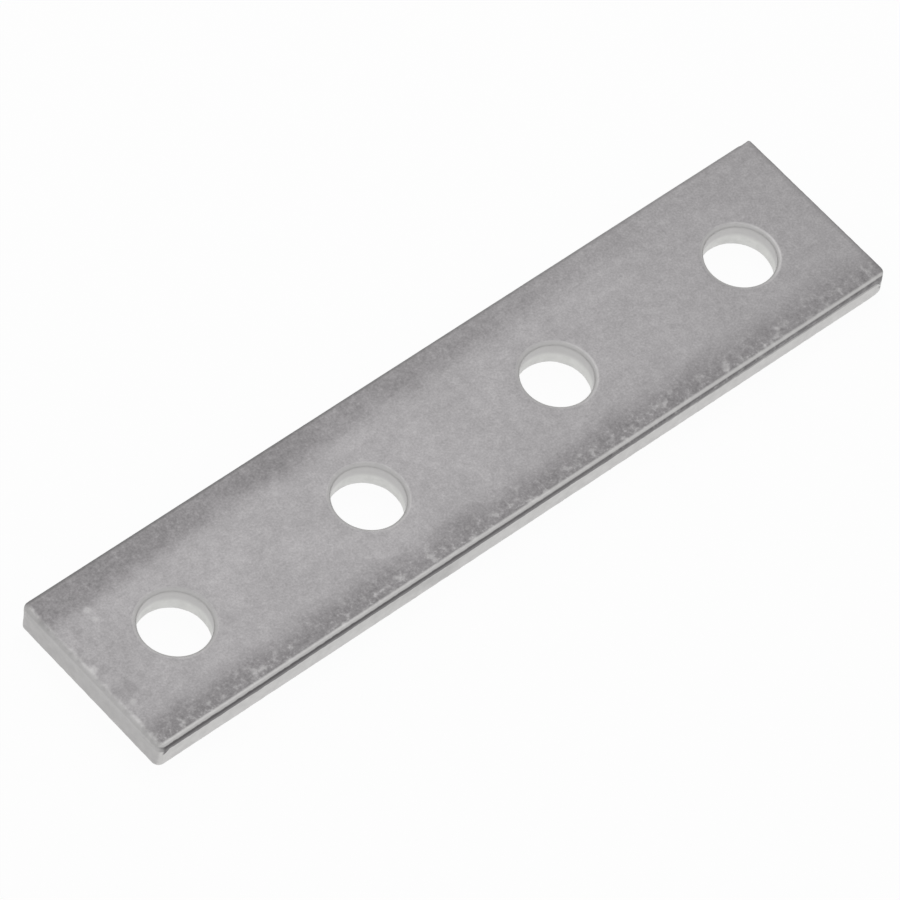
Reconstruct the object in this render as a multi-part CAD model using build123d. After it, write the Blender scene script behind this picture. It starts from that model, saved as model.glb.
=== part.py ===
from build123d import *
import os

# Mending plate: a flat steel bar, cropped to length and punched with a row of bolt holes.
# Frame: X along the plate, Y across it, Z up from the face it lies on. Millimetres.

HOLE_COUNT = 4            # holes in the row
HOLE_PITCH = 47.6         # centre to centre
END_DISTANCE = 20.6       # end of the plate to the first hole centre
PLATE_WIDTH = 40.0
THICKNESS = 6.35
HOLE_DIAMETER = 14.3      # punched size, measured on the burnished land
CORNER_RADIUS = 1.1       # plan corners, worn round in the plating barrel

EDGE_ROLL_WIDTH = 1.4     # die roll: how far in from a sheared edge the top face bends down
EDGE_ROLL_DEPTH = 0.75     # and how deep that bend runs
EDGE_LAND = 1.0           # upright band that the blade burnishes before the steel tears
HOLE_ROLL_WIDTH = 1.0     # the same three sizes round a punched hole
HOLE_ROLL_DEPTH = 0.9
HOLE_LAND = 1.8
TOOL_CLEARANCE = 0.15     # gap between the tools on a side: the torn zone leans by this much
BURR_RADIUS = 0.3         # left on the last edge to tear

PLATE_LENGTH = (HOLE_COUNT - 1) * HOLE_PITCH + 2 * END_DISTANCE


def sheared_edge(roll_width, roll_depth, land_height):
    """Line of a sheared edge seen end on: the land stands at u = 0, the steel is at larger u.

    From the top down: elliptical die roll, burnished land, leaning torn zone, rounded burr.
    """
    land_top = THICKNESS - roll_depth
    land_foot = land_top - land_height
    tear_end = (TOOL_CLEARANCE, BURR_RADIUS)
    roll = EllipticalCenterArc((roll_width, land_top), roll_width, roll_depth, 90, arc_size=90)
    land = Line((0, land_top), (0, land_foot))
    torn = Line((0, land_foot), tear_end)
    burr = JernArc(tear_end, (0, -1), BURR_RADIUS, 90)
    return roll + land + torn + burr


def sheared_bar(length, far_edge_turned):
    """Section between two sheared edges whose lands stand length apart, centred on u = 0.

    far_edge_turned shears the far edge from the other face, so its die roll is underneath.
    """
    near = sheared_edge(EDGE_ROLL_WIDTH, EDGE_ROLL_DEPTH, EDGE_LAND)
    far = mirror(near, Plane.YZ)
    if far_edge_turned:
        far = Pos(0, THICKNESS) * mirror(far, Plane.XZ)
    near = Pos(-length / 2, 0) * near
    far = Pos(length / 2, 0) * far
    lower, upper = sorted([far @ 0, far @ 1], key=lambda point: point.Y)
    return make_face(near + far + Line(near @ 0, upper) + Line(near @ 1, lower))


def blank():
    """The bar before punching: sheared along both sides, then cropped from above and below."""
    left = Plane.YZ.offset(-PLATE_LENGTH / 2)
    back = Plane.XZ.offset(-PLATE_WIDTH / 2)
    across = extrude(left * sheared_bar(PLATE_WIDTH, False), PLATE_LENGTH)
    along = extrude(back * sheared_bar(PLATE_LENGTH, True), PLATE_WIDTH)
    corners = extrude(RectangleRounded(PLATE_LENGTH, PLATE_WIDTH, CORNER_RADIUS), THICKNESS)
    return across & along & corners


def hole_cutter():
    """What one punch stroke takes out: the sheared edge turned about the hole's axis."""
    edge = sheared_edge(HOLE_ROLL_WIDTH, HOLE_ROLL_DEPTH, HOLE_LAND)
    wall = Pos(HOLE_DIAMETER / 2, 0) * edge
    top = Line(wall @ 0, (0, THICKNESS))
    axis = Line((0, THICKNESS), (0, 0))
    bottom = Line((0, 0), wall @ 1)
    return revolve(Plane.XZ * make_face(wall + top + axis + bottom), Axis.Z)


def mending_plate():
    """The finished plate, one solid, lying on Z = 0 with its row of holes along X."""
    plate = blank() - GridLocations(HOLE_PITCH, 0, HOLE_COUNT, 1) * hole_cutter()
    return plate.solid()


os.makedirs("parts", exist_ok=True)
plate = mending_plate()
plate.label = "mending_plate"
export_step(plate, "parts/mending_plate.step")
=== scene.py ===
import functools
import math

import bpy
import numpy as np
from mathutils import Matrix, Vector


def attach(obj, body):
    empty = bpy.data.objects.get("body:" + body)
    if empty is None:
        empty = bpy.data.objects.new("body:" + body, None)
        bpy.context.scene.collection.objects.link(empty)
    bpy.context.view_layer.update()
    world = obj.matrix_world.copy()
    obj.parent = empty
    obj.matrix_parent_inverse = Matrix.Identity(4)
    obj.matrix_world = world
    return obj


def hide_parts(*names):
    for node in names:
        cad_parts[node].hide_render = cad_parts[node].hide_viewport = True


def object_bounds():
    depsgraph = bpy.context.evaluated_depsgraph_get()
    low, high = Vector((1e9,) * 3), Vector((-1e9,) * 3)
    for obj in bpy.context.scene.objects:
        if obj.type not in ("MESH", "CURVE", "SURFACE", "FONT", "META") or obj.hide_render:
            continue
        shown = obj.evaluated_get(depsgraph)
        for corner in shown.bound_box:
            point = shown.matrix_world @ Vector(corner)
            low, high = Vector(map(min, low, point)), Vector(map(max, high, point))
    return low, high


bl_info = {
    "name": "Mending Plate",
    "version": (1, 0, 0),
    "blender": (4, 5, 0),
    "location": "View3D > Sidebar > Mending Plate",
    "description": "Builds a zinc-coated steel mending plate and the studio it lies in",
    "category": "Add Mesh",
}

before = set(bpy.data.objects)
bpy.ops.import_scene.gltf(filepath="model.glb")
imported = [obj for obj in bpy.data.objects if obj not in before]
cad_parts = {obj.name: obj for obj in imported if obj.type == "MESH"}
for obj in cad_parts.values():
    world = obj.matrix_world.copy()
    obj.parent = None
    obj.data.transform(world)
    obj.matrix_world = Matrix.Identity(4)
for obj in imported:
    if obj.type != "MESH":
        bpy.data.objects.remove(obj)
CAD_BOX = [list(corner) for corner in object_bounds()]
NODE = "mending_plate"
BODY = "root"
MM = 0.001
SIZE = [(high - low) / MM for low, high in zip(*CAD_BOX)]

# Zinc beads near the left end: distance from the end, place across and radius, in mm.
BEADS = [(9.1, 11.8, 0.9), (9.1, 9.4, 0.7), (1.6, 1.0, 0.9), (3.0, -8.8, 0.8)]
# Beads colour the steel down to this depth below full height, mm.
BEAD_REACH = 1

# Rows of points down the die roll, the land and the burr, and places down the torn zone.
ROLL_ROWS, LAND_ROWS, BURR_ROWS = 7, 3, 3
TEAR_SHARES = [0, 0.06, 0.2, 0.36, 0.52, 0.68, 0.84, 1.0]
# Rings of points between a hole and its boundary on the top face and on the underside.
TOP_RINGS, LOW_RINGS = 30, 4
CORNER_POINTS = 7
# Room beyond the edge roll in which the lines of a rounded corner draw together, mm.
CORNER_ROOM = 0.6
# The edge turns over within this length of the right end, and below this height takes the torn
# zone's pale colour, painted light that lifts the shade under the turned roll, mm.
TURN_LENGTH, TURNED_FOOT = 3.0, 2.2
# How quickly the draw-in fades beside an edge and a hole, and the room below full height, mm.
EDGE_FADE, HOLE_FADE, TOP_ROOM = 1.8, 1.1, 0.01
# The noise lattice, where the face starts on it, and the circle each hole takes from it.
LATTICE, NOISE_START, NOISE_RING, NOISE_GAP = (97, 89), 40, 5, 20
# Depth of the grain in the coat, and the studio's lamp and floor, in metres.
GRAIN_DEPTH = 0.06 * MM
LAMP_PLACE, LAMP_AIM, LAMP_WIDTH = (0.18, 0.22, 0.49), (-0.09, 0, 0), 0.36
FLOOR_REACH, FLOOR_CORNERS = 4, [(-1, -1), (1, -1), (1, 1), (-1, 1)]


# ---------------------------------------------------------------- settings


class PlateSize(bpy.types.PropertyGroup):
    """Sizes of the plate, all in millimetres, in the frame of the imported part."""

    length: bpy.props.FloatProperty(
        name="Length", description="Along the row of holes, mm", default=SIZE[0]
    )
    width: bpy.props.FloatProperty(
        name="Width", description="Across the row of holes, mm", default=SIZE[1]
    )
    thickness: bpy.props.FloatProperty(
        name="Thickness", description="From the underside to the top face, mm", default=SIZE[2]
    )
    hole_count: bpy.props.IntProperty(
        name="Holes", description="Holes in the row", default=4, min=2
    )
    hole_pitch: bpy.props.FloatProperty(
        name="Hole pitch", description="Centre to centre, mm", default=47.6
    )
    hole_diameter: bpy.props.FloatProperty(
        name="Hole diameter", description="At the burnished land, mm", default=14.3
    )
    worn_corner: bpy.props.FloatProperty(
        name="Worn corners", description="Plan radius of three of the corners, mm", default=1.7
    )
    crisp_corner: bpy.props.FloatProperty(
        name="Crisp corner", description="Plan radius of the far right corner, mm", default=0.5
    )
    edge_roll_width: bpy.props.FloatProperty(
        name="Edge roll width", description="Die roll beside a sheared edge, mm", default=1.4
    )
    edge_roll_depth: bpy.props.FloatProperty(
        name="Edge roll depth", description="Die roll below the top face, mm", default=0.75
    )
    edge_land: bpy.props.FloatProperty(
        name="Edge land", description="Height of the burnished band on an edge, mm", default=1.0
    )
    hole_roll_width: bpy.props.FloatProperty(
        name="Hole roll width", description="Die roll round a punched hole, mm", default=1.0
    )
    hole_roll_depth: bpy.props.FloatProperty(
        name="Hole roll depth", description="Die roll at a hole, below the face, mm", default=0.9
    )
    hole_land: bpy.props.FloatProperty(
        name="Hole land", description="Height of the burnished band in a hole, mm", default=1.8
    )
    die_clearance: bpy.props.FloatProperty(
        name="Die clearance", description="How far the torn zone leans, mm", default=0.15
    )
    burr_radius: bpy.props.FloatProperty(
        name="Burr radius", description="Left on the last edge to tear, mm", default=0.3
    )


class PlateSurface(bpy.types.PropertyGroup):
    """How uneven the rolled, sheared and coated steel is, in millimetres."""

    spacing: bpy.props.FloatProperty(
        name="Spacing", description="Distance between points along the outline, mm", default=0.46
    )
    waviness: bpy.props.FloatProperty(
        name="Waviness", description="Slow rise and fall of the rolled face, mm", default=0.04
    )
    draw_in: bpy.props.FloatProperty(
        name="Draw-in", description="How far the face sinks beside a sheared edge, mm", default=0.03
    )
    bead: bpy.props.FloatProperty(
        name="Bead", description="Height of the zinc beads near the left end, mm", default=0.06
    )
    tear: bpy.props.FloatProperty(
        name="Tear", description="Roughness of the torn zone, mm", default=0.13
    )
    seed: bpy.props.IntProperty(
        name="Seed", description="Start of the random surface", default=7
    )


class PlateFinish(bpy.types.PropertyGroup):
    """Colours of the zinc coat, and of the painted highlight and painted shade on it, as sRGB hex
    values.
    """

    zinc: bpy.props.StringProperty(
        name="Zinc", description="Coat on the open face", default="#959394"
    )
    zinc_dull: bpy.props.StringProperty(
        name="Dull zinc", description="Coat in the darker clouds and bands", default="#7D7B7C"
    )
    # Also the colour of the painted highlights on the rolls of the edges and the holes.
    zinc_pale_and_highlight: bpy.props.StringProperty(
        name="Torn steel", description="Thick matt coat on the torn zone", default="#D7D6D5"
    )
    zinc_bore: bpy.props.StringProperty(
        name="Bore", description="Thick bright coat that ran into the holes", default="#DFDFDD"
    )
    # Also the colour of the painted shade along the land, and of the dark spots.
    zinc_dark_spot_and_shade: bpy.props.StringProperty(
        name="Land", description="Thin smooth coat on the burnished land", default="#686667"
    )


class StudioSettings(bpy.types.PropertyGroup):
    """Camera, lamp and floor."""

    azimuth: bpy.props.FloatProperty(
        name="Azimuth", description="Camera direction in plan, from +Y to +X",
        default=math.radians(51.26), subtype="ANGLE",
    )
    elevation: bpy.props.FloatProperty(
        name="Elevation", description="Camera above the floor",
        default=math.radians(53.95), subtype="ANGLE",
    )
    roll: bpy.props.FloatProperty(
        name="Roll", description="Turn about the line of sight",
        default=math.radians(12.22), subtype="ANGLE",
    )
    distance: bpy.props.FloatProperty(
        name="Distance", description="Camera to the plate", default=1.607, unit="LENGTH"
    )
    lens: bpy.props.FloatProperty(
        name="Lens", description="Focal length on a 36 mm sensor", default=341.1, unit="CAMERA"
    )
    aim_right: bpy.props.FloatProperty(
        name="Aim right", description="Aim point right of the plate's middle, mm", default=-2.21
    )
    aim_up: bpy.props.FloatProperty(
        name="Aim up", description="Aim point above the plate's middle, mm", default=-1.015
    )
    floor: bpy.props.StringProperty(
        name="Floor", description="Colour of the floor, sRGB hex", default="#F4F4F4"
    )
    sky: bpy.props.FloatProperty(
        name="Room light", description="Strength of the even light of the room", default=0.80
    )
    key: bpy.props.FloatProperty(
        name="Key lamp", description="Power of the large soft lamp", default=0.52, unit="POWER"
    )


# ---------------------------------------------------------------- surfaces


def lattice_noise(u, v, seed):
    """Smooth noise from 0 to 1: random values on a unit lattice, blended with 3t^2 - 2t^3."""
    table = np.random.default_rng(seed).random(LATTICE)
    nu, nv = LATTICE
    iu, iv = np.floor(u).astype(int), np.floor(v).astype(int)
    fu, fv = u - iu, v - iv
    fu, fv = fu * fu * (3 - 2 * fu), fv * fv * (3 - 2 * fv)
    a, b = table[iu % nu, iv % nv], table[(iu + 1) % nu, iv % nv]
    c, d = table[iu % nu, (iv + 1) % nv], table[(iu + 1) % nu, (iv + 1) % nv]
    return (a * (1 - fu) + b * fu) * (1 - fv) + (c * (1 - fu) + d * fu) * fv


def cloud_noise(u, v, seed, octaves=3):
    """Sum of lattice noises, each at twice the frequency and half the height of the last."""
    total = sum(
        lattice_noise(u * 2**k, v * 2**k, seed + k) / 2**k for k in range(octaves)
    )
    return total / sum(1 / 2**k for k in range(octaves))


def edge_profile(roll_width, roll_depth, land, lean, burr, thickness):
    """Sheared edge from the top face to the underside: inset from the land, height, zone.

    An elliptical quarter for the die roll, a straight land, a straight leaning tear and a
    quarter circle at the burr. Zones are 0 roll, 1 land, 2 tear.
    """
    turn = np.linspace(0, math.pi / 2, ROLL_ROWS)
    land_top = thickness - roll_depth
    land_foot = land_top - land
    roll = [roll_width * (1 - np.sin(turn)), land_top + roll_depth * np.cos(turn)]
    band = [np.zeros(LAND_ROWS), np.linspace(land_top, land_foot, LAND_ROWS + 2)[1:-1]]
    share = np.array(TEAR_SHARES)
    tear = [lean * share, land_foot + (burr - land_foot) * share]
    turn = np.linspace(0, math.pi / 2, BURR_ROWS + 1)[1:]
    tip = [lean + burr * (1 - np.cos(turn)), burr * (1 - np.sin(turn))]
    inset, height = (np.concatenate(rows) for rows in zip(roll, band, tear, tip))
    zone = np.repeat([0.0, 1.0, 2.0], [ROLL_ROWS, LAND_ROWS, len(share) + BURR_ROWS])
    return inset, height, zone


def straight(start, end, spacing):
    """Evenly spaced points from start up to but not including end."""
    start, end = np.array(start, float), np.array(end, float)
    count = max(2, round(float(np.linalg.norm(end - start)) / spacing))
    share = np.arange(count)[:, None] / count
    return start + (end - start) * share


def quarter(centre, radius, first_angle):
    """Quarter circle from first_angle, anticlockwise, without its last point."""
    angle = np.radians(first_angle + 90 * np.arange(CORNER_POINTS) / CORNER_POINTS)
    return np.array(centre) + radius * np.stack([np.cos(angle), np.sin(angle)], 1)


def outline_runs(size, spacing):
    """The plate's outline as runs of points, anticlockwise, by name.

    Each long side has one run for each hole, so that a hole's share of the face can be
    bounded by its own runs.
    """
    half_l, half_w = size.length / 2, size.width / 2
    worn, crisp = size.worn_corner, size.crisp_corner
    cuts = (np.arange(1, size.hole_count) - size.hole_count / 2) * size.hole_pitch
    stops = [-half_l + worn, *cuts, half_l - worn]
    runs = {}
    for k in range(size.hole_count):
        a, b = stops[k], stops[k + 1]
        runs["near", k] = straight((a, -half_w), (b, -half_w), spacing)
    x, y = half_l - worn, half_w - worn
    runs["corner", 0] = quarter((x, -y), worn, -90)
    runs["right", 0] = straight((half_l, -y), (half_l, half_w - crisp), spacing)
    runs["corner", 1] = quarter((half_l - crisp, half_w - crisp), crisp, 0)
    stops[-1] = half_l - crisp
    for k in reversed(range(size.hole_count)):
        a, b = stops[k + 1], stops[k]
        runs["far", k] = straight((a, half_w), (b, half_w), spacing)
    runs["corner", 2] = quarter((-x, y), worn, 90)
    runs["left", 0] = straight((-half_l, y), (-half_l, -y), spacing)
    runs["corner", 3] = quarter((-x, -y), worn, 180)
    return runs


class PlateForm:
    """The whole surface of the plate, gathered as points and quads and then welded, in mm."""

    def __init__(self, size, surface):
        self.size, self.surface = size, surface
        self.points, self.zones, self.quads, self.total = [], [], [], 0
        self.runs = outline_runs(size, surface.spacing)
        self.place, here = {}, 0
        for name, points in self.runs.items():
            self.place[name] = here
            here += len(points)
        self.outline = np.concatenate(list(self.runs.values()))
        steps = np.linalg.norm(np.roll(self.outline, -1, 0) - self.outline, axis=1)
        self.along = np.concatenate([[0], np.cumsum(steps)[:-1]])
        self.inward = self.mitred()

    def mitred(self):
        """Inward step of each outline point for 1 mm of inset.

        Every point heads for its own place on a smaller rectangle with sharp corners, so that
        the lines of a rounded corner draw together without crossing.
        """
        size = self.size
        half = np.array([size.length, size.width]) / 2
        reach = size.edge_roll_width + CORNER_ROOM
        crisp = (self.outline > 0).all(axis=1)[:, None]
        first = size.worn_corner - half
        last = half - np.where(crisp, size.crisp_corner, size.worn_corner)
        share = np.clip((self.outline - first) / (last - first), 0, 1)
        return ((2 * share - 1) * (half - reach) - self.outline) / reach

    def add(self, grid, zone, close):
        """Adds a grid of points, rows by columns, and joins its last column to its first."""
        rows, columns = grid.shape[:2]
        index = self.total + np.arange(rows * columns).reshape(rows, columns)
        if close:
            index = np.concatenate([index, index[:, :1]], 1)
        a, b, c, d = index[:-1, :-1], index[1:, :-1], index[1:, 1:], index[:-1, 1:]
        self.quads.append(np.stack([a, b, c, d], -1).reshape(-1, 4))
        self.points.append(grid.reshape(-1, 3))
        self.zones.append(np.broadcast_to(zone, (rows, columns)).reshape(-1))
        self.total += rows * columns

    def centres(self):
        """Hole centres along X."""
        count = self.size.hole_count
        return (np.arange(count) - (count - 1) / 2) * self.size.hole_pitch

    def drop(self, x, y):
        """How far the top face lies below its full height.

        A slow cloud noise, plus the draw-in times exp(-d / fade) beside each hole and each
        edge but the right one, where d is the distance to it. It starts at the height of a
        zinc bead, so none stands proud.
        """
        size, surface = self.size, self.surface
        half_l, half_w = size.length / 2, size.width / 2
        u, v = x / 13 + NOISE_START, y / 8 + NOISE_START
        wave = surface.waviness * cloud_noise(u, v, surface.seed)
        edge = np.minimum(half_w - np.abs(y), x + half_l) - size.edge_roll_width
        sink = np.exp(-np.maximum(edge, 0) / EDGE_FADE)
        for centre in self.centres():
            ring = np.hypot(x - centre, y) - size.hole_diameter / 2 - size.hole_roll_width
            sink = sink + 0.8 * np.exp(-np.maximum(ring, 0) / HOLE_FADE)
        low = TOP_ROOM + surface.bead + wave + surface.draw_in * np.minimum(sink, 1.2)
        return low - self.beads(x, y)

    def beads(self, x, y):
        """Round drops of zinc near the left end: h exp(-(d / r)^2) for each drop."""
        height = 0 * x
        for inset, across, radius in BEADS:
            d = np.hypot(x + self.size.length / 2 - inset, y - across)
            height = height + self.surface.bead * np.exp(-((d / radius) ** 2))
        return height

    def edge_rows(self):
        """Inset, height and zone for every row and outline point.

        The die roll is on top along both sides and the left end. Past the two right corners
        the profile is turned over, because the plate was cropped there from underneath, and
        its foot takes the torn zone's pale colour, as painted light that lifts the shade under
        the turned roll. The land and the tear wander in height along the edge.
        """
        size, surface = self.size, self.surface
        s, x = self.along, self.outline[:, 0]
        up = edge_profile(
            size.edge_roll_width, size.edge_roll_depth, size.edge_land,
            size.die_clearance, size.burr_radius, size.thickness,
        )
        inset = np.repeat(up[0][:, None], len(s), 1)
        height = np.repeat(up[1][:, None], len(s), 1)
        zone = np.repeat(up[2][:, None], len(s), 1)
        turned = np.clip((x - size.length / 2 + TURN_LENGTH) / TURN_LENGTH, 0, 1)
        turned = turned * turned * (3 - 2 * turned)
        inset = inset * (1 - turned) + inset[::-1] * turned
        height = height * (1 - turned) + (size.thickness - height[::-1]) * turned
        zone = zone * (1 - turned) + zone[::-1] * turned
        wander = cloud_noise(s / 6.0, 0 * s, surface.seed + 20) - 0.5
        fine = cloud_noise(s / 1.1, 0 * s, surface.seed + 25) - 0.5
        foot = size.thickness - size.edge_roll_depth - size.edge_land
        middle = np.exp(-(((height - foot) / 0.8) ** 2))
        height = height + middle * (0.35 * wander + 0.2 * fine)
        torn = np.clip(zone - 1, 0, 1)
        rough = cloud_noise(s[None] / 0.9, height / 0.8, surface.seed + 30)
        grooves = cloud_noise(s[None] / 0.7, height / 5.0, surface.seed + 35)
        inset = inset + surface.tear * torn * (0.6 * rough + 0.4 * grooves)
        # Painted light: the turned-over foot takes the pale torn colour, lifting the shade beneath
        # it.
        zone = np.where((turned > 0) & (height < TURNED_FOOT), 2.0, zone)
        return inset, height, zone

    def edge(self):
        """Sweeps the sheared profile round the outline, each point by its own inward step."""
        inset, height, zone = self.edge_rows()
        plan = self.outline[None] + inset[..., None] * self.inward[None]
        height = height.copy()
        height[0] = self.size.thickness
        share = np.linspace(1, 0, ROLL_ROWS)[:, None]
        height[:ROLL_ROWS] -= share * self.drop(*np.moveaxis(plan[:ROLL_ROWS], 2, 0))
        height[-1] = 0
        self.add(np.concatenate([plan, height[..., None]], 2), zone, True)
        return plan[0], plan[-1]

    def bounds_of(self, rim, k):
        """Closed boundary of hole k's share of a face: runs of the rim and two straight cuts."""
        last = self.size.hole_count - 1

        def run(side, number):
            start = self.place[side, number]
            return rim[start : start + len(self.runs[side, number])]

        def cut(a, b):
            count = round(self.size.width / self.surface.spacing)
            return a + (b - a) * (np.arange(count) / count)[:, None]

        def first(side, number):
            return rim[self.place[side, number]]

        parts = [run("near", k)]
        if k < last:
            parts.append(cut(first("near", k + 1), first("far", k)))
        else:
            parts += [run("corner", 0), run("right", 0), run("corner", 1)]
        parts.append(run("far", k))
        if k > 0:
            parts.append(cut(first("far", k - 1), first("near", k)))
        else:
            parts += [run("corner", 2), run("left", 0), run("corner", 3)]
        return np.concatenate(parts)

    def face_shares(self, rim, radius, rows, height):
        """Ruled rings between each hole and its boundary: P = H (1 - t) + B t.

        B is a boundary point, H is the point of the hole's circle in the direction of the
        outline above it, and t bunches towards both ends as (1 - cos pi t) / 2. The faces above
        and below share these directions, so that both meet the hole's wall point for point.
        """
        share = (1 - np.cos(math.pi * np.linspace(0, 1, rows))) / 2
        share = 0.45 * share + 0.55 * np.linspace(0, 1, rows)
        rings = []
        for k, centre in enumerate(self.centres()):
            bound = self.bounds_of(rim, k)
            outer = self.bounds_of(self.outline, k)
            angle = np.arctan2(outer[:, 1], outer[:, 0] - centre)
            circle = np.stack([centre + radius * np.cos(angle), radius * np.sin(angle)], 1)
            plan = circle[None] * (1 - share[:, None, None]) + bound[None] * share[:, None, None]
            z = height(plan[..., 0], plan[..., 1])
            rings.append(np.concatenate([plan, z[..., None]], 2))
        return rings

    def wall(self, ring, centre, number):
        """Revolves the sheared profile about a hole's axis, through the ring's own angles.

        Its zones are -1 on the roll and the land, and fall to -2 down the torn zone. Noise is
        read round a circle of the lattice, so that it closes on itself.
        """
        size, surface = self.size, self.surface
        inset, height, zone = edge_profile(
            size.hole_roll_width, size.hole_roll_depth, size.hole_land,
            size.die_clearance, size.burr_radius, size.thickness,
        )
        angle = np.arctan2(ring[:, 1], ring[:, 0] - centre)
        u = np.cos(angle) * NOISE_RING + NOISE_GAP * (number + 0.5)
        v = np.sin(angle) * NOISE_RING + NOISE_GAP * 1.5
        rows = (inset, height, zone)
        inset, height, zone = (np.repeat(row[:, None], len(angle), 1) for row in rows)
        wander = cloud_noise(u / 3, v / 3, surface.seed + 50) - 0.5
        middle = np.exp(-(((height - 0.6 * size.thickness) / 1.0) ** 2))
        height = height + middle * 1.1 * wander
        height[0], height[-1] = size.thickness, 0
        torn = np.clip(zone - 1, 0, 1)
        torn[-1] = 0
        land_foot = size.thickness - size.hole_roll_depth - size.hole_land
        zone = -1 - np.clip((land_foot + 0.5 - height) / 1.6, 0, 1)
        # The top rows of the roll ease from 0 to -1, so that the painted highlight on a hole's roll
        # fades in from the face.
        zone[:3] *= np.array([0, 0.35, 0.85])[:, None]
        rough = cloud_noise(u[None] / 0.8 + height, v[None] / 0.8 + height, surface.seed + 60)
        inset = inset + surface.tear * torn * rough
        radius = size.hole_diameter / 2 + inset
        x, y = centre + radius * np.cos(angle), radius * np.sin(angle)
        share = np.linspace(1, 0, ROLL_ROWS)[:, None]
        height[:ROLL_ROWS] -= share * self.drop(x[:ROLL_ROWS], y[:ROLL_ROWS])
        self.add(np.stack([x, y, height], 2)[::-1], zone[::-1], True)

    def build(self):
        """Edge, top face, underside and hole walls, welded where they meet."""
        size, thickness = self.size, self.size.thickness
        top_rim, low_rim = self.edge()
        top_radius = size.hole_diameter / 2 + size.hole_roll_width
        low_radius = size.hole_diameter / 2 + size.die_clearance + size.burr_radius
        top = self.face_shares(
            top_rim, top_radius, TOP_RINGS, lambda x, y: thickness - self.drop(x, y)
        )
        low = self.face_shares(low_rim, low_radius, LOW_RINGS, lambda x, y: 0 * x)
        for k, centre in enumerate(self.centres()):
            self.add(top[k], 0.0, True)
            self.add(low[k][::-1], 0.0, True)
            self.wall(top[k][0], centre, k)
        return self.weld()

    def weld(self):
        """Points in one cell of a micrometre grid become one, and spare corners are dropped.

        The grid is moved by a part of a cell, so that round values don't lie on its lines.
        """
        points, quads = np.concatenate(self.points), np.concatenate(self.quads)
        zones = np.concatenate(self.zones)
        cells_per_mm, moved = 1000, 0.3137
        keys = np.floor(points * cells_per_mm + moved).astype(np.int64)
        _, first, index = np.unique(keys, axis=0, return_index=True, return_inverse=True)
        quads = index.reshape(-1)[quads]
        distinct = quads != np.roll(quads, -1, 1)
        sides = distinct.sum(1)
        whole = sides >= 3
        return points[first], quads[whole][distinct[whole]], sides[whole], zones[first]


def mesh_object(name, points, corners, sides, values):
    """A smooth-shaded object at the origin, in metres, with point values as attributes."""
    mesh = bpy.data.meshes.new(name)
    mesh.vertices.add(len(points))
    mesh.vertices.foreach_set("co", (points * MM).astype(np.float32).ravel())
    mesh.loops.add(len(corners))
    mesh.loops.foreach_set("vertex_index", corners.astype(np.int32))
    mesh.polygons.add(len(sides))
    starts = np.concatenate([[0], np.cumsum(sides)[:-1]])
    mesh.polygons.foreach_set("loop_start", starts.astype(np.int32))
    mesh.polygons.foreach_set("use_smooth", np.ones(len(sides), bool))
    mesh.update(calc_edges=True)
    mesh.validate()
    for label, levels in values.items():
        layer = mesh.attributes.new(label, "FLOAT", "POINT")
        layer.data.foreach_set("value", levels.astype(np.float32))
    made = bpy.data.objects.new(name, mesh)
    bpy.context.collection.objects.link(made)
    return made


# ---------------------------------------------------------------- finishes


def linear(hex_colour):
    """sRGB hex to linear red, green, blue and 1."""
    levels = [int(hex_colour[i : i + 2], 16) / 255 for i in (1, 3, 5)]
    return [c / 12.92 if c <= 0.04045 else ((c + 0.055) / 1.055) ** 2.4 for c in levels] + [1.0]


def add(tree, kind, inputs=(), **settings):
    """Adds a node with its settings, sets or links its inputs, and returns its first output.

    Inputs come in the node's own order, or by name. Sockets that the settings switch off are
    left out of both.
    """
    made = tree.nodes.new(kind)
    for key, value in settings.items():
        setattr(made, key, value)
    live = [socket for socket in made.inputs if socket.enabled]
    by_name = {socket.name: socket for socket in live}
    pairs = inputs.items() if isinstance(inputs, dict) else enumerate(inputs)
    for key, value in pairs:
        socket = by_name[key] if isinstance(key, str) else live[key]
        if isinstance(value, bpy.types.NodeSocket):
            tree.links.new(value, socket)
        else:
            socket.default_value = value
    return next((socket for socket in made.outputs if socket.enabled), None)


def new_material(name):
    """An empty node material and its tree."""
    material = bpy.data.materials.new(name)
    material.use_nodes = True
    material.node_tree.nodes.clear()
    return material, material.node_tree


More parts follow.
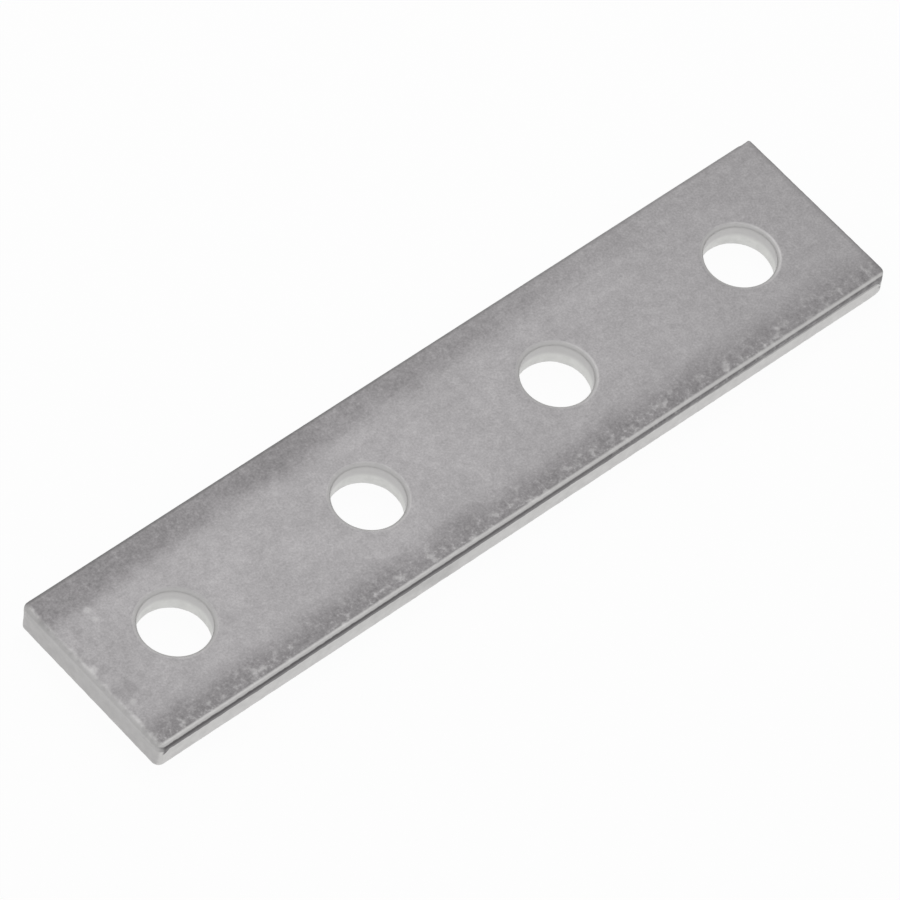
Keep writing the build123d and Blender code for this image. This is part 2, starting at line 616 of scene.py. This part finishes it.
def zinc_coated_steel(finish, size):
    """Hot-rolled steel, sheared and punched, then given a zinc coat.

    To the eye it is a soft grey metal: cloudy and half matt on the rolled face, with darker
    blotched bands along the long edges, a smooth land with a dark line of painted shade on it,
    a pale sugary band where the steel tore, and a paler coat where zinc ran down into the holes.
    Highlights are painted in the pale colour on the rolls of the edges and the holes.
    """
    material, tree = new_material("Zinc-coated hot-rolled steel")
    node = functools.partial(add, tree)
    maths, smooth = "ShaderNodeMath", {"interpolation_type": "SMOOTHSTEP"}
    ramp, noise, mix = "ShaderNodeMapRange", "ShaderNodeTexNoise", "ShaderNodeMix"
    times = {"data_type": "RGBA", "blend_type": "MULTIPLY"}
    zinc, dull, pale_coat_and_highlight, bore_coat, dark_spot_and_shade_coat = (
        linear(getattr(finish, name))
        for name in ("zinc", "zinc_dull", "zinc_pale_and_highlight", "zinc_bore", "zinc_dark_spot_and_shade")
    )
    half_l, half_w, top = size.length / 2, size.width / 2, size.thickness

    where = node("ShaderNodeTexCoord").node.outputs["Object"]
    mm = node("ShaderNodeMapping", {"Vector": where, "Scale": (1000, 1000, 1000)})
    x, y, z = node("ShaderNodeSeparateXYZ", [mm]).node.outputs
    zone, bead = (
        node("ShaderNodeAttribute", attribute_name=name).node.outputs["Fac"]
        for name in ("zone", "bead")
    )
    along = node("ShaderNodeCombineXYZ", [x])
    # Sizes of the patterns, mm: clouds in the coat, patches, blotches, grit and fine grain.
    clouds, patches, blotch, grit, grain, slow = (
        node(noise, {"Vector": v, "Scale": 1 / grain_mm, "Detail": detail, "Roughness": 0.58})
        for v, grain_mm, detail in [
            (mm, 9.0, 3.0), (mm, 4.2, 3.0), (mm, 2.0, 3.0), (mm, 0.9, 3.0), (mm, 0.45, 2.0),
            (along, 14.0, 2.0),
        ]
    )

    # The dark bands reach 3 to 9 mm in from the long edges, and fade towards the right.
    reach = 0.0
    for pattern, span in [(slow, 5.0), (patches, 4.0), (blotch, 3.0)]:
        reach = node(maths, [pattern, span, reach], operation="MULTIPLY_ADD")
    near = node(maths, [y, half_w], operation="ADD")
    far = node(maths, [half_w, y], operation="SUBTRACT")
    draw_back = node(ramp, [x, -half_l, -50.0, 1.6, 0.0], **smooth)
    far = node(maths, [far, draw_back], operation="SUBTRACT")
    near_share = node(ramp, [x, 10.0, 90.0, 0.95, 0.6], **smooth)
    far_left = node(ramp, [x, -half_l, 20.0, 0.40, 0.0], **smooth)
    far_right = node(ramp, [x, 0.0, 80.0, 0.75, 0.08], **smooth)
    far_share = node(maths, [far_left, far_right], operation="ADD")
    bands = []
    for depth, share in [(near, near_share), (far, far_share)]:
        inside = node(maths, [reach, depth], operation="SUBTRACT")
        inside = node(ramp, [inside, -3.0, 3.0], **smooth)
        bands.append(node(maths, [inside, share], operation="MULTIPLY"))
    band = node(maths, bands, operation="MAXIMUM")
    uneven = node(ramp, [patches, 0.3, 0.65, 0.82, 1.15], **smooth)
    dark = node(maths, [band, uneven], operation="MULTIPLY")
    speck = node(ramp, [blotch, 0.60, 0.74, 0.0, 0.16], **smooth)
    dark = node(maths, [dark, speck], operation="MAXIMUM")
    # Dull patches on the last 15 mm or so at the left end.
    mottle = node(ramp, [patches, 0.48, 0.66, 0.0, 0.5], **smooth)
    by_end = node(ramp, [x, 3.0 - half_l, 18.0 - half_l, 1.0, 0.0], **smooth)
    mottle = node(maths, [mottle, by_end], operation="MULTIPLY")
    dark = node(maths, [dark, mottle], operation="MAXIMUM")
    face = node(mix, [dark, zinc, dull], data_type="RGBA")

    # Unevenness of the coat, as the share by which each pattern lightens and darkens it.
    rough_bands = node(ramp, [band, 0.0, 1.0, 0.25, 1.0])
    for pattern, share, strength in [
        (clouds, 0.03, 1.0), (blotch, 0.14, 1.0), (grain, 0.2, 1.0), (grit, 0.3, rough_bands)
    ]:
        tones = [pattern, (1 - share,) * 3 + (1,), (1 + share,) * 3 + (1,)]
        face = node(mix, [strength, face, node(mix, tones, data_type="RGBA")], **times)

    # Pale and dark spots, thickest beside the near edge, and a thin dull line at the right end.
    spots = node(ramp, [near, 1.5, 6.5, 1.0, 0.12], **smooth)
    for pattern, low, high, first, last, tone in [
        (blotch, 0.5, 0.72, 0.0, 0.26, pale_coat_and_highlight), (grit, 0.54, 0.8, 0.0, 0.22, pale_coat_and_highlight),
        (patches, 0.32, 0.48, 0.4, 0.0, dark_spot_and_shade_coat), (grit, 0.3, 0.44, 0.3, 0.0, dark_spot_and_shade_coat),
    ]:
        spot = node(ramp, [pattern, low, high, first, last], **smooth)
        spot = node(maths, [spot, spots], operation="MULTIPLY")
        face = node(mix, [spot, face, tone], data_type="RGBA")
    line = node(ramp, [x, half_l - 1.6, half_l - 0.9, 0.0, 0.35], **smooth)
    face = node(mix, [line, face, dull], data_type="RGBA")

    # Beads of zinc, then painted highlights in the pale colour: a strip at the left end's roll, the
    # crest of the roll along both long edges, and the walls of the holes.
    # Painted highlight: a pale strip at the left end, over its roll, with a ragged edge from the
    # blotch noise.
    left = node(maths, [x, half_l], operation="ADD")
    left = node(maths, [blotch, -1.6, left], operation="MULTIPLY_ADD")
    depth = node(maths, [half_w, node(maths, [y], operation="ABSOLUTE")], operation="SUBTRACT")
    # Painted highlight: the crest of the roll beside both long edges takes the pale colour, strong
    # at the near edge and faint at the far edge.
    highlight_width = node(ramp, [x, -half_l, half_l, 1.25, 0.95])
    highlight_inset = node(maths, [depth, highlight_width], operation="SUBTRACT")
    highlight_top = node(ramp, [z, top - 0.42, top - 0.3], **smooth)
    highlight_edge = node(ramp, [highlight_inset, -0.45, 0.15, 1.0, 0.0], **smooth)
    painted_crest_highlight = node(maths, [highlight_top, highlight_edge], operation="MULTIPLY")
    for span in [(x, -half_l, half_l, 0.72, 0.8), (y, -half_w, half_w, 1.0, 0.12)]:
        painted_crest_highlight = node(maths, [painted_crest_highlight, node(ramp, span)], operation="MULTIPLY")
    for share in [
        node(ramp, [bead, 0.1, 0.8, 0.0, 0.17], **smooth),
        node(ramp, [left, -0.6, 0.9, 0.6, 0.0], **smooth),
        painted_crest_highlight,
        # Painted highlight: the walls of each hole, from the roll down, take the pale colour.
        node(ramp, [zone, -1.0, 0.0, 0.68, 0.0]),
    ]:
        face = node(mix, [share, face, pale_coat_and_highlight], data_type="RGBA")

    # The land, with painted shade on it: a dark line below the roll, standing for the shadowed
    # floor mirrored in the smooth land, lower to the right, that turns down at the left.
    shift = node(ramp, [x, -20.0, half_l, 0.0, 0.84], **smooth)
    level = node(maths, [blotch, -0.5, z], operation="MULTIPLY_ADD")
    level = node(maths, [level, shift], operation="ADD")
    turn_down = node(ramp, [x, 1.0 - half_l, 2.6 - half_l, 1.4, 0.0])
    foot = node(maths, [level, turn_down], operation="ADD")
    land = 1.0
    for value, *span in [
        (foot, top - 1.92, top - 1.67), (level, top - 0.66, top - 0.56, 1.0, 0.0),
        (depth, 0.25, 0.5, 1.0, 0.0), (x, 0.9 - half_l, 1.5 - half_l),
        (x, half_l - 1.5, half_l - 0.4, 1.0, 0.0), (x, -60.0, 90.0, 0.95, 0.4),
    ]:
        land = node(maths, [land, node(ramp, [value, *span], **smooth)], operation="MULTIPLY")

    # The torn zone: paler on the sides, greyer on the left end, palest in the bores.
    torn = node(ramp, [zone, 1.3, 1.8], **smooth)
    below_face = node(ramp, [z, top - 0.36, top - 0.3, 1.0, 0.0])
    torn = node(maths, [torn, below_face], operation="MULTIPLY")
    bore = node(maths, [blotch, 0.6, zone], operation="MULTIPLY_ADD")
    bore = node(ramp, [bore, -1.7, -0.7, 1.0, 0.0], **smooth)
    end = node(ramp, [x, 0.3 - half_l, 0.8 - half_l, 0.34, 0.0], **smooth)
    coat = node(mix, [end, pale_coat_and_highlight, zinc], data_type="RGBA")
    coat = node(mix, [bore, coat, bore_coat], data_type="RGBA")
    sugar = node(mix, [blotch, (0.86, 0.86, 0.86, 1), (1.14, 1.14, 1.14, 1)], data_type="RGBA")
    coat = node(mix, [1.0, coat, sugar], **times)
    pale = node(maths, [torn, bore], operation="MAXIMUM")
    colour = node(mix, [pale, face, coat], data_type="RGBA")
    # Painted shade: the dark line over the land.
    colour = node(mix, [land, colour, dark_spot_and_shade_coat], data_type="RGBA")

    rough = node(ramp, [clouds, 0.3, 0.7, 0.44, 0.49], **smooth)
    rough = node(maths, [pale, 0.12, rough], operation="MULTIPLY_ADD")
    rough = node(maths, [land, -0.16, rough], operation="MULTIPLY_ADD")
    # Half matt, rougher on the thick coats and smoother on the land, with a fine raised grain.
    swell = node(maths, [blotch, 0.5], operation="MULTIPLY")
    height = node(maths, [grain, 0.5, swell], operation="MULTIPLY_ADD")
    bump = node("ShaderNodeBump", {"Height": height, "Strength": 0.5, "Distance": GRAIN_DEPTH})
    metal = {"Base Color": colour, "Metallic": 1.0, "Roughness": rough, "Normal": bump}
    node("ShaderNodeOutputMaterial", [node("ShaderNodeBsdfPrincipled", metal)])
    return material


def seen_rays(tree):
    """1 for a ray from the camera, off a glossy surface or through a clear one, otherwise 0."""
    path = add(tree, "ShaderNodeLightPath").node.outputs
    rays = path["Is Camera Ray"]
    for name in ("Is Glossy Ray", "Is Transmission Ray"):
        rays = add(tree, "ShaderNodeMath", [rays, path[name]], operation="MAXIMUM")
    return rays


def matt_board(colour):
    """Matt painted board: an even pale floor that keeps soft shadows."""
    material, tree = new_material("Matt painted board")
    where = add(tree, "ShaderNodeTexCoord").node.outputs["Object"]
    fleck = add(tree, "ShaderNodeTexNoise", {"Vector": where, "Scale": 300.0, "Detail": 2.0})
    tones = [fleck, linear(colour), (0.9, 0.9, 0.9, 1)]
    board = add(tree, "ShaderNodeMix", tones, data_type="RGBA")
    paint = add(tree, "ShaderNodeBsdfDiffuse", [board])
    share = add(tree, "ShaderNodeMath", [seen_rays(tree), 0.95], operation="MULTIPLY")
    white = add(tree, "ShaderNodeEmission", {"Strength": 1.0})
    add(tree, "ShaderNodeOutputMaterial", [add(tree, "ShaderNodeMixShader", [share, paint, white])])
    return material


# ---------------------------------------------------------------- operators


class OBJECT_OT_mending_plate(bpy.types.Operator):
    """Build the plate: sheared bar with punched holes, zinc coated"""

    bl_idname = "object.mending_plate"
    bl_label = "Mending Plate"
    bl_options = {"REGISTER", "UNDO"}

    def execute(self, context):
        scene = context.scene
        form = PlateForm(scene.plate_size, scene.plate_surface)
        points, corners, sides, zone = form.build()
        on_top = points[:, 2] > SIZE[2] - BEAD_REACH
        bead = on_top * form.beads(points[:, 0], points[:, 1]) / scene.plate_surface.bead
        values = {"zone": zone, "bead": bead}
        plate = mesh_object("zinc_coated_plate", points, corners, sides, values)
        plate.data.materials.append(zinc_coated_steel(scene.plate_finish, scene.plate_size))
        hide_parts(NODE)
        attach(plate, BODY)
        return {"FINISHED"}


class OBJECT_OT_plate_studio(bpy.types.Operator):
    """Lay the floor, hang the lamp and set up the camera"""

    bl_idname = "object.plate_studio"
    bl_label = "Studio"
    bl_options = {"REGISTER", "UNDO"}

    def execute(self, context):
        scene, studio = context.scene, context.scene.plate_studio
        floor = bpy.data.objects.new("floor", bpy.data.meshes.new("floor"))
        corners = [(FLOOR_REACH * x, FLOOR_REACH * y, 0) for x, y in FLOOR_CORNERS]
        floor.data.from_pydata(corners, [], [(0, 1, 2, 3)])
        floor.data.materials.append(matt_board(studio.floor))
        context.collection.objects.link(floor)
        self.light(scene, studio)
        self.camera(scene, studio)
        scene.view_settings.view_transform = "Standard"
        return {"FINISHED"}

    def light(self, scene, studio):
        """An even room, white where it is seen, and one large soft lamp."""
        world = bpy.data.worlds.new("room")
        world.use_nodes = True
        tree = world.node_tree
        tree.nodes.clear()
        strength = add(tree, "ShaderNodeMix", [seen_rays(tree), studio.sky, 1.0], data_type="FLOAT")
        light = add(tree, "ShaderNodeBackground", {"Strength": strength})
        add(tree, "ShaderNodeOutputWorld", [light])
        scene.world = world
        lamp = bpy.data.lights.new("key lamp", "AREA")
        lamp.shape, lamp.size, lamp.energy = "DISK", LAMP_WIDTH, studio.key
        key = bpy.data.objects.new("key lamp", lamp)
        spot = Vector(LAMP_PLACE)
        aim = (Vector(LAMP_AIM) - spot).to_track_quat("-Z", "Y")
        key.matrix_world = Matrix.LocRotScale(spot, aim, None)
        bpy.context.collection.objects.link(key)

    def camera(self, scene, studio):
        """Looks along azimuth and elevation at the plate's middle, then turned by roll."""
        a, e, r = studio.azimuth, studio.elevation, studio.roll
        ahead = Vector((math.sin(a) * math.cos(e), math.cos(a) * math.cos(e), -math.sin(e)))
        level = ahead.cross(Vector((0, 0, 1))).normalized()
        raised = level.cross(ahead)
        right = level * math.cos(r) + raised * math.sin(r)
        up = raised * math.cos(r) - level * math.sin(r)
        low, high = (Vector(corner) for corner in CAD_BOX)
        aim = (low + high) / 2 + (right * studio.aim_right + up * studio.aim_up) * MM
        turn = Matrix((right, up, -ahead)).transposed().to_4x4()
        data = bpy.data.cameras.new("camera")
        data.sensor_width, data.lens = 36.0, studio.lens
        data.clip_start, data.clip_end = 0.05, 20.0
        camera = bpy.data.objects.new("camera", data)
        camera.matrix_world = Matrix.Translation(aim - ahead * studio.distance) @ turn
        bpy.context.collection.objects.link(camera)
        scene.camera = camera


class VIEW3D_PT_mending_plate(bpy.types.Panel):
    """Sizes, surface, finish and studio of the mending plate"""

    bl_label = "Mending Plate"
    bl_idname = "VIEW3D_PT_mending_plate"
    bl_space_type = "VIEW_3D"
    bl_region_type = "UI"
    bl_category = "Mending Plate"

    def draw(self, context):
        for name, group in SETTINGS.items():
            box = self.layout.box()
            settings = getattr(context.scene, name)
            for key in group.__annotations__:
                box.prop(settings, key)
        for operator in OPERATORS:
            self.layout.operator(operator.bl_idname)


SETTINGS = {
    "plate_size": PlateSize,
    "plate_surface": PlateSurface,
    "plate_finish": PlateFinish,
    "plate_studio": StudioSettings,
}
OPERATORS = [OBJECT_OT_mending_plate, OBJECT_OT_plate_studio]


def register():
    """Registers every class and hangs the settings on the scene."""
    for group in SETTINGS.values():
        bpy.utils.register_class(group)
    for name, group in SETTINGS.items():
        setattr(bpy.types.Scene, name, bpy.props.PointerProperty(type=group))
    for item in [*OPERATORS, VIEW3D_PT_mending_plate]:
        bpy.utils.register_class(item)


def unregister():
    """Undoes register, in the other order."""
    for item in [VIEW3D_PT_mending_plate, *reversed(OPERATORS)]:
        bpy.utils.unregister_class(item)
    for name, group in reversed(SETTINGS.items()):
        delattr(bpy.types.Scene, name)
        bpy.utils.unregister_class(group)


def main():
    register()
    bpy.ops.object.mending_plate()
    bpy.ops.object.plate_studio()


if __name__ == "__main__":
    main()
